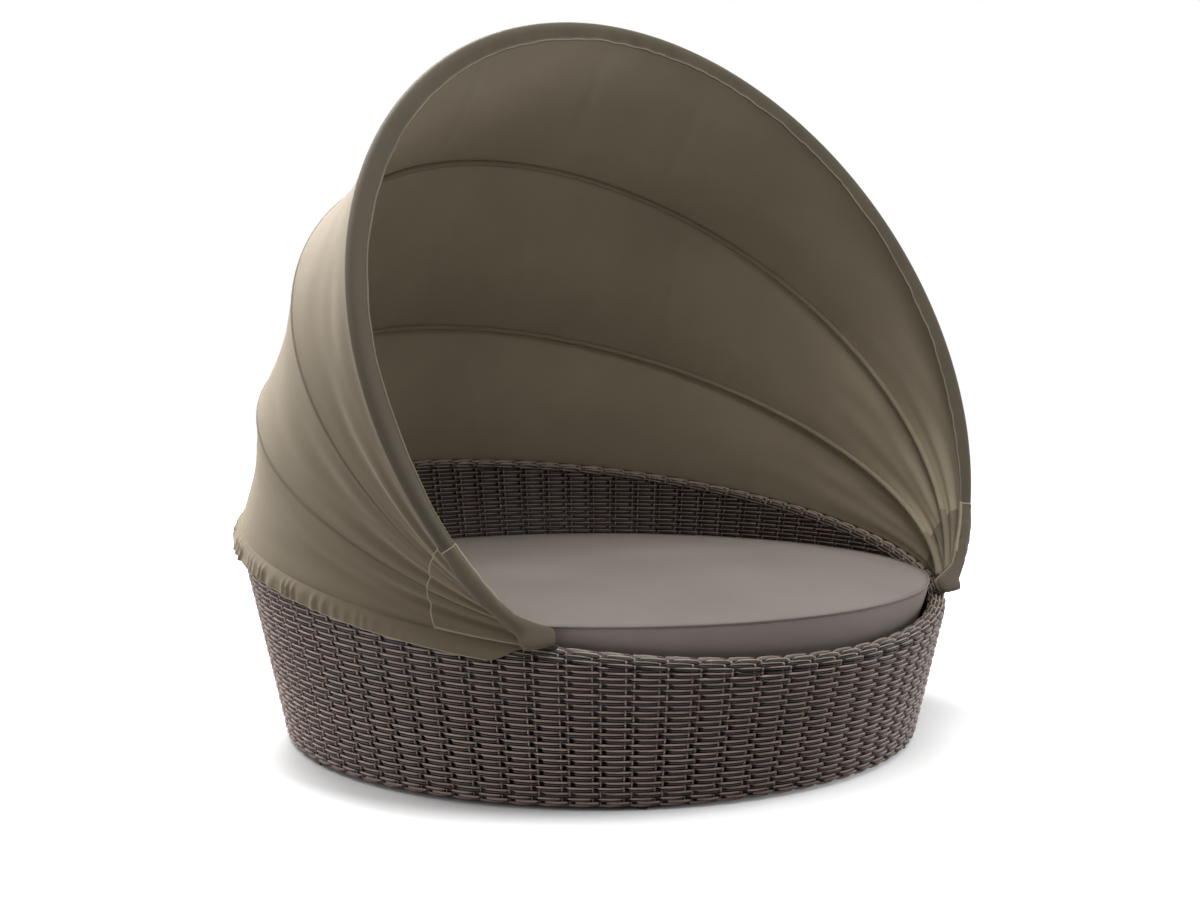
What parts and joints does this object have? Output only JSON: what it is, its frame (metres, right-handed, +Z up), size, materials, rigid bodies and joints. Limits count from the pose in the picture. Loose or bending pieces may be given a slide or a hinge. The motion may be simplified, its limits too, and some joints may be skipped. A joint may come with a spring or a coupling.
{
  "type": "round outdoor daybed with folding canopy",
  "caption": "Round woven outdoor daybed with a seat cushion and a folding cloth canopy on bows that pivot at the basket's rim.",
  "frame": {"origin": "on the floor under the middle of the round basket, on the underside of the middle foot", "axes": "+Z up, the open front faces -Y, +X to the right of someone facing +Y"},
  "size_m": [1.7464, 1.7436, 1.7077],
  "materials": {
    "wicker": "woven flat synthetic strand, dark grey-brown with paler edges",
    "coated_metal": "dark powder coat",
    "steel": "plain bright",
    "black_plastic": "moulded matt",
    "canopy_cloth": "taupe outdoor cloth, fine plain weave",
    "cushion_cloth": "warm grey outdoor cloth, fine plain weave",
    "foam": "open foam"
  },
  "bodies": {
    "base": {"base_ring": "coated_metal", "rim_ring": "coated_metal", "deck_ring": "coated_metal", "stave_1": "coated_metal", "stave_2": "coated_metal", "stave_3": "coated_metal", "stave_4": "coated_metal", "stave_5": "coated_metal", "stave_6": "coated_metal", "stave_7": "coated_metal", "stave_8": "coated_metal", "stave_9": "coated_metal", "stave_10": "coated_metal", "stave_11": "coated_metal", "stave_12": "coated_metal", "slat_1": "coated_metal", "slat_2": "coated_metal", "slat_3": "coated_metal", "slat_4": "coated_metal", "slat_5": "coated_metal", "slat_6": "coated_metal", "slat_7": "coated_metal", "deck_beam": "coated_metal", "centre_leg": "coated_metal", "centre_foot": "black_plastic", "glide_1": "black_plastic", "glide_2": "black_plastic", "glide_3": "black_plastic", "glide_4": "black_plastic", "glide_5": "black_plastic", "glide_6": "black_plastic", "outer_weave": "wicker", "inner_weave": "wicker", "base_edge_roll": "wicker", "rim_braid": "wicker", "pivot_bracket_left": "coated_metal", "pivot_bracket_right": "coated_metal", "pivot_pin_left": "steel", "pivot_pin_right": "steel", "pivot_nut_left": "steel", "pivot_nut_right": "steel", "inner_spacer_left": "black_plastic", "inner_spacer_right": "black_plastic", "outer_spacer_left": "black_plastic", "outer_spacer_right": "black_plastic", "canopy_panel_rear": "canopy_cloth", "corner_patch_left": "canopy_cloth", "corner_patch_right": "canopy_cloth", "hem_band": "canopy_cloth"},
    "bow_rear_body": {"bow_rear": "coated_metal", "canopy_panel_middle": "canopy_cloth"},
    "bow_middle_body": {"bow_middle": "coated_metal", "canopy_panel_front": "canopy_cloth"},
    "bow_front_body": {"bow_front": "coated_metal", "front_sleeve": "canopy_cloth"},
    "cushion": {"cushion_cover": "cushion_cloth", "cushion_foam": "foam", "cushion_zip": "black_plastic"},
    "zip_slider": {"zip_pull": "steel"}
  },
  "joints": [
    {"name": "rear_fold", "type": "hinge", "parent": "base", "child": "bow_rear_body", "pos_m": [0, -0.60604, 0.35931], "axis": [-1, 0, 0], "range_deg": [0, 14], "deforming": ["canopy_panel_rear", "corner_patch_left", "corner_patch_right"]},
    {"name": "middle_fold", "type": "hinge", "parent": "bow_rear_body", "child": "bow_middle_body", "pos_m": [0, -0.60604, 0.35931], "axis": [-1, 0, 0], "range_deg": [0, 14], "deforming": ["canopy_panel_middle"]},
    {"name": "front_fold", "type": "hinge", "parent": "bow_middle_body", "child": "bow_front_body", "pos_m": [0, -0.60604, 0.35931], "axis": [-1, 0, 0], "range_deg": [0, 14], "deforming": ["canopy_panel_front"]},
    {"name": "cushion_lift", "type": "slide", "parent": "base", "child": "cushion", "axis": [0, 0, 1], "range_m": [0, 0.25]},
    {"name": "zip_slide", "type": "hinge", "parent": "cushion", "child": "zip_slider", "pos_m": [0, 0, 0.26], "axis": [0, 0, 1], "range_deg": [0, 90]}
  ],
  "couplings": [
    {"joint": "middle_fold", "follows": "rear_fold", "ratio": 1},
    {"joint": "front_fold", "follows": "rear_fold", "ratio": 1}
  ]
}
